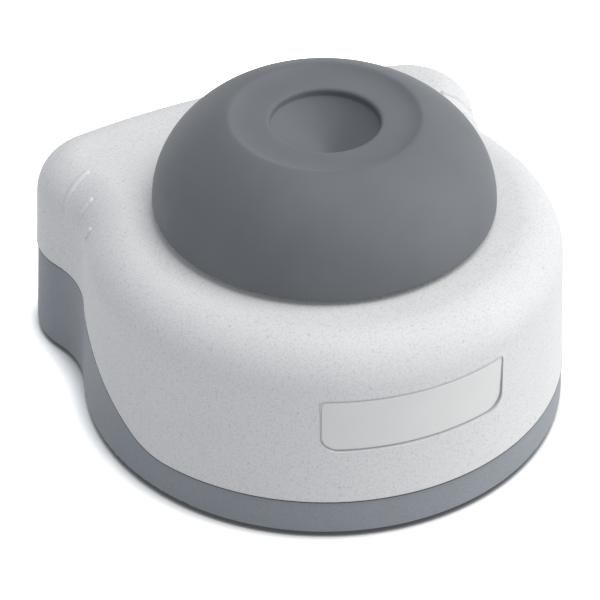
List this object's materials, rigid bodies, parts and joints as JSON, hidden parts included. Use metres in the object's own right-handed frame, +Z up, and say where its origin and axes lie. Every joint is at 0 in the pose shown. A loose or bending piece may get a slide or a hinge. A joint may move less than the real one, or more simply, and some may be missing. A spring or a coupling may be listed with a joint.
{
  "type": "mini vortex mixer",
  "caption": "Compact vortex mixer: rounded two-tone case with a large grey rubber cup head that orbits when it is pressed",
  "frame": {"origin": "on the bench, under the middle of the footprint's bounding box", "axes": "+Z up, -Y towards the front with the label place, +Y along the longer side of the footprint"},
  "size_m": [0.1102, 0.1162, 0.0717],
  "materials": {
    "cover_white": "finely speckled",
    "base_grey": "finely speckled",
    "label_grey": "matte",
    "head_rubber": "matte",
    "soft_rubber": "matte",
    "carrier_black": "satin",
    "nylon": "satin",
    "steel": "satin",
    "bright_steel": "polished",
    "cast_steel": "raw",
    "copper": "bare",
    "brass": "bare",
    "ferrite": "dull",
    "board_green": "satin",
    "part_black": "satin",
    "wire_red": "satin",
    "wire_black": "satin"
  },
  "bodies": {
    "housing": {"base_tray": "base_grey", "top_cover": "cover_white", "label_plate": "label_grey", "ballast_plate": "cast_steel", "ballast_screws": "steel", "housing_screws": "steel", "guide_posts": "steel", "foot_front_right": "soft_rubber", "foot_front_left": "soft_rubber", "foot_rear_right": "soft_rubber", "foot_rear_left": "soft_rubber", "switch_body": "part_black", "switch_terminals": "brass", "switch_screws": "steel", "power_inlet": "part_black", "inlet_pin": "brass", "control_board": "board_green", "board_block": "board_green", "capacitor": "part_black", "board_screws": "steel", "motor_leads": "wire_red", "switch_lead": "wire_black", "inlet_lead": "wire_black", "lift_spring_rear": "bright_steel", "lift_spring_left": "bright_steel", "lift_spring_right": "bright_steel"},
    "carriage": {"motor_bracket": "steel", "guide_bush_rear": "nylon", "guide_bush_left": "nylon", "guide_bush_right": "nylon", "motor_can": "bright_steel", "motor_end_cap": "part_black", "motor_terminals": "brass", "motor_bushes": "brass", "magnets": "ferrite", "motor_brushes": "ferrite", "brush_holders": "brass", "motor_screws": "steel", "head_gaiter": "soft_rubber"},
    "rotor": {"motor_shaft": "bright_steel", "armature_core": "steel", "armature_windings": "copper", "commutator": "copper", "eccentric_hub": "steel", "hub_set_screw": "steel", "counterweight": "brass", "hub_clip": "steel", "inner_race": "bright_steel"},
    "ball_cage": {"bearing_cage": "brass", "bearing_balls": "bright_steel"},
    "head": {"outer_race": "bright_steel", "bearing_snap_ring": "steel", "head_carrier": "carrier_black", "cup_head": "head_rubber"},
    "lever": {"switch_lever": "bright_steel"},
    "plunger": {"switch_plunger": "nylon"}
  },
  "joints": [
    {"name": "press", "type": "slide", "parent": "housing", "child": "carriage", "axis": [0, 0, -1], "range_m": [0, 0.0008], "stiffness_N_per_m": 3000, "springref_m": -0.002, "deforming": ["lift_spring_rear", "lift_spring_left", "lift_spring_right", "motor_leads"]},
    {"name": "shaft_spin", "type": "hinge", "parent": "carriage", "child": "rotor", "pos_m": [0, -0.00315, 0], "axis": [0, 0, 1], "continuous": true, "deforming": ["head_gaiter"]},
    {"name": "cage_spin", "type": "hinge", "parent": "rotor", "child": "ball_cage", "pos_m": [0.00057, -0.00177, 0], "axis": [0, 0, 1], "continuous": true, "deforming": ["head_gaiter"]},
    {"name": "head_orbit", "type": "hinge", "parent": "rotor", "child": "head", "pos_m": [0.00057, -0.00177, 0], "axis": [0, 0, 1], "continuous": true, "deforming": ["head_gaiter"]},
    {"name": "switch_lever_swing", "type": "hinge", "parent": "housing", "child": "lever", "pos_m": [0.0364, 0.00545, 0.0327], "axis": [1, 0, 0], "range_deg": [0, 2.9], "stiffness_Nm_per_rad": 0.00001745, "springref_deg": -57.3},
    {"name": "switch_plunger_slide", "type": "slide", "parent": "housing", "child": "plunger", "axis": [0, 0, -1], "range_m": [0, 0.000214], "stiffness_N_per_m": 0.00298, "springref_m": -0.02}
  ],
  "couplings": [
    {"joint": "head_orbit", "follows": "shaft_spin", "ratio": -1},
    {"joint": "cage_spin", "follows": "shaft_spin", "ratio": -0.632},
    {"joint": "switch_lever_swing", "follows": "press", "rad_per_m": 62.893},
    {"joint": "switch_plunger_slide", "follows": "press", "ratio": 0.26415}
  ]
}
